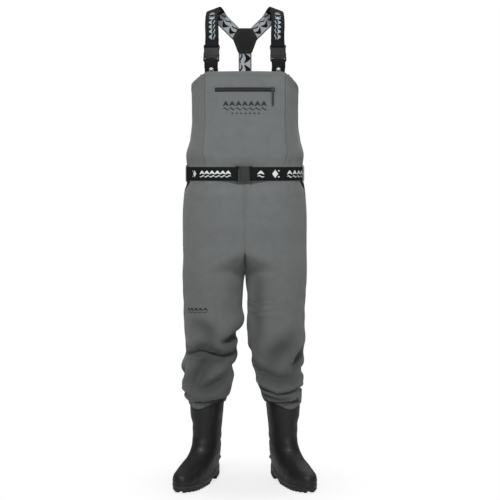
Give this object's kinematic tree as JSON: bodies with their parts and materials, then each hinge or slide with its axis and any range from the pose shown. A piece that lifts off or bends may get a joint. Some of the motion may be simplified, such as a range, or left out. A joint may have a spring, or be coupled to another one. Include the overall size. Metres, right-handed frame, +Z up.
{
  "type": "chest waders",
  "caption": "Boot-foot chest waders: hollow bib, seat and legs joined to boots, with a belt, braces, side-release buckles and a zipped chest pocket.",
  "frame": {"origin": "on the floor under the middle of the bounding box", "axes": "+Z up along the body, -Y the way the wearer faces, +X to the wearer's left"},
  "size_m": [0.4266, 0.3312, 1.4392],
  "materials": {
    "grey_fabric": "matte",
    "lining": "matte",
    "loop_fabric": "matte",
    "webbing": "matte",
    "black_plastic": "satin",
    "zip_plastic": "satin",
    "zip_tape": "matte",
    "boot_rubber": "satin",
    "sole_rubber": "matte",
    "insole_foam": "matte"
  },
  "bodies": {
    "waders": {"belt_buckle_socket": "black_plastic", "belt_front_right": "webbing", "belt_loop_back": "loop_fabric", "belt_loop_left": "loop_fabric", "belt_loop_right": "loop_fabric", "belt_webbing": "webbing", "bib_back_panel": "grey_fabric", "bib_front_panel": "grey_fabric", "bib_side_panel_left": "grey_fabric", "bib_side_panel_right": "grey_fabric", "brace_back_left": "webbing", "brace_back_right": "webbing", "brace_buckle_left_plug": "black_plastic", "brace_buckle_right_plug": "black_plastic", "brace_front_left": "webbing", "brace_front_right": "webbing", "brace_tab_left": "webbing", "brace_tab_right": "webbing", "chest_pocket_bag": "lining", "crotch_gusset": "grey_fabric", "hip_back_left": "grey_fabric", "hip_back_right": "grey_fabric", "hip_front_left": "grey_fabric", "hip_front_right": "grey_fabric", "knee_sleeve_left": "grey_fabric", "knee_sleeve_right": "grey_fabric", "rear_strap": "webbing", "thigh_back_left": "grey_fabric", "thigh_back_right": "grey_fabric", "thigh_front_left": "grey_fabric", "thigh_front_right": "grey_fabric", "yoke_back_plate": "black_plastic", "yoke_front_plate": "black_plastic", "zip_tape": "zip_tape", "zip_teeth": "zip_tape"},
    "zip_slider": {"zip_slider": "zip_plastic"},
    "zip_pull": {"zip_pull": "zip_plastic"},
    "belt_plug": {"belt_buckle_plug": "black_plastic"},
    "belt_arm_a": {"belt_buckle_arm_a": "black_plastic"},
    "belt_arm_b": {"belt_buckle_arm_b": "black_plastic"},
    "left_socket": {"brace_buckle_left_socket": "black_plastic"},
    "left_brace_arm_a": {"brace_buckle_left_arm_a": "black_plastic"},
    "left_brace_arm_b": {"brace_buckle_left_arm_b": "black_plastic"},
    "right_socket": {"brace_buckle_right_socket": "black_plastic"},
    "right_brace_arm_a": {"brace_buckle_right_arm_a": "black_plastic"},
    "right_brace_arm_b": {"brace_buckle_right_arm_b": "black_plastic"},
    "lower_leg_left": {"shin_front_left": "grey_fabric", "shin_back_left": "grey_fabric", "boot_seam_band_left": "boot_rubber", "boot_upper_left": "boot_rubber", "outsole_left": "sole_rubber", "insole_left": "insole_foam"},
    "lower_leg_right": {"shin_front_right": "grey_fabric", "shin_back_right": "grey_fabric", "boot_seam_band_right": "boot_rubber", "boot_upper_right": "boot_rubber", "outsole_right": "sole_rubber", "insole_right": "insole_foam"}
  },
  "joints": [
    {"name": "zip_slide", "type": "slide", "parent": "waders", "child": "zip_slider", "axis": [1, 0, 0], "range_m": [-0.1636, 0]},
    {"name": "zip_pull_swing", "type": "hinge", "parent": "zip_slider", "child": "zip_pull", "pos_m": [0.0818, -0.08679, 1.183], "axis": [-1, 0, 0], "range_deg": [0, 150]},
    {"name": "belt_buckle_release", "type": "slide", "parent": "waders", "child": "belt_plug", "axis": [-1, 0, 0], "range_m": [0, 0.03], "deforming": ["belt_front_right", "belt_buckle_arm_a", "belt_buckle_arm_b"]},
    {"name": "belt_buckle_arm_a_squeeze", "type": "hinge", "parent": "belt_plug", "child": "belt_arm_a", "pos_m": [-0.012, -0.08789, 0.9255], "axis": [0, -1, 0], "range_deg": [0, 16], "stiffness_Nm_per_rad": 0.3},
    {"name": "belt_buckle_arm_b_squeeze", "type": "hinge", "parent": "belt_plug", "child": "belt_arm_b", "pos_m": [-0.012, -0.08789, 0.9485], "axis": [0, 1, 0], "range_deg": [0, 16], "stiffness_Nm_per_rad": 0.3},
    {"name": "left_brace_release", "type": "slide", "parent": "waders", "child": "left_socket", "axis": [-0.0313, 0.2228, 0.9744], "range_m": [0, 0.03], "deforming": ["brace_front_left", "brace_buckle_left_arm_a", "brace_buckle_left_arm_b"]},
    {"name": "left_brace_arm_a_squeeze", "type": "hinge", "parent": "waders", "child": "left_brace_arm_a", "pos_m": [0.10939, -0.06729, 1.281], "axis": [0.1356, -0.9649, 0.225], "range_deg": [0, 16], "stiffness_Nm_per_rad": 0.3},
    {"name": "left_brace_arm_b_squeeze", "type": "hinge", "parent": "waders", "child": "left_brace_arm_b", "pos_m": [0.08661, -0.07049, 1.281], "axis": [-0.1356, 0.9649, -0.225], "range_deg": [0, 16], "stiffness_Nm_per_rad": 0.3},
    {"name": "right_brace_release", "type": "slide", "parent": "waders", "child": "right_socket", "axis": [0.0313, 0.2228, 0.9744], "range_m": [0, 0.03], "deforming": ["brace_front_right", "brace_buckle_right_arm_a", "brace_buckle_right_arm_b"]},
    {"name": "right_brace_arm_a_squeeze", "type": "hinge", "parent": "waders", "child": "right_brace_arm_a", "pos_m": [-0.08661, -0.07049, 1.281], "axis": [-0.1356, -0.9649, 0.225], "range_deg": [0, 16], "stiffness_Nm_per_rad": 0.3},
    {"name": "right_brace_arm_b_squeeze", "type": "hinge", "parent": "waders", "child": "right_brace_arm_b", "pos_m": [-0.10939, -0.06729, 1.281], "axis": [0.1356, 0.9649, -0.225], "range_deg": [0, 16], "stiffness_Nm_per_rad": 0.3},
    {"name": "left_knee_bend", "type": "hinge", "parent": "waders", "child": "lower_leg_left", "pos_m": [0.1, 0.03561, 0.44], "axis": [1, 0, 0], "range_deg": [0, 60], "deforming": ["knee_sleeve_left"]},
    {"name": "right_knee_bend", "type": "hinge", "parent": "waders", "child": "lower_leg_right", "pos_m": [-0.1, 0.03561, 0.44], "axis": [1, 0, 0], "range_deg": [0, 60], "deforming": ["knee_sleeve_right"]}
  ],
  "couplings": [
    {"joint": "belt_buckle_arm_b_squeeze", "follows": "belt_buckle_arm_a_squeeze", "ratio": 1},
    {"joint": "left_brace_arm_b_squeeze", "follows": "left_brace_arm_a_squeeze", "ratio": 1},
    {"joint": "right_brace_arm_b_squeeze", "follows": "right_brace_arm_a_squeeze", "ratio": 1}
  ]
}
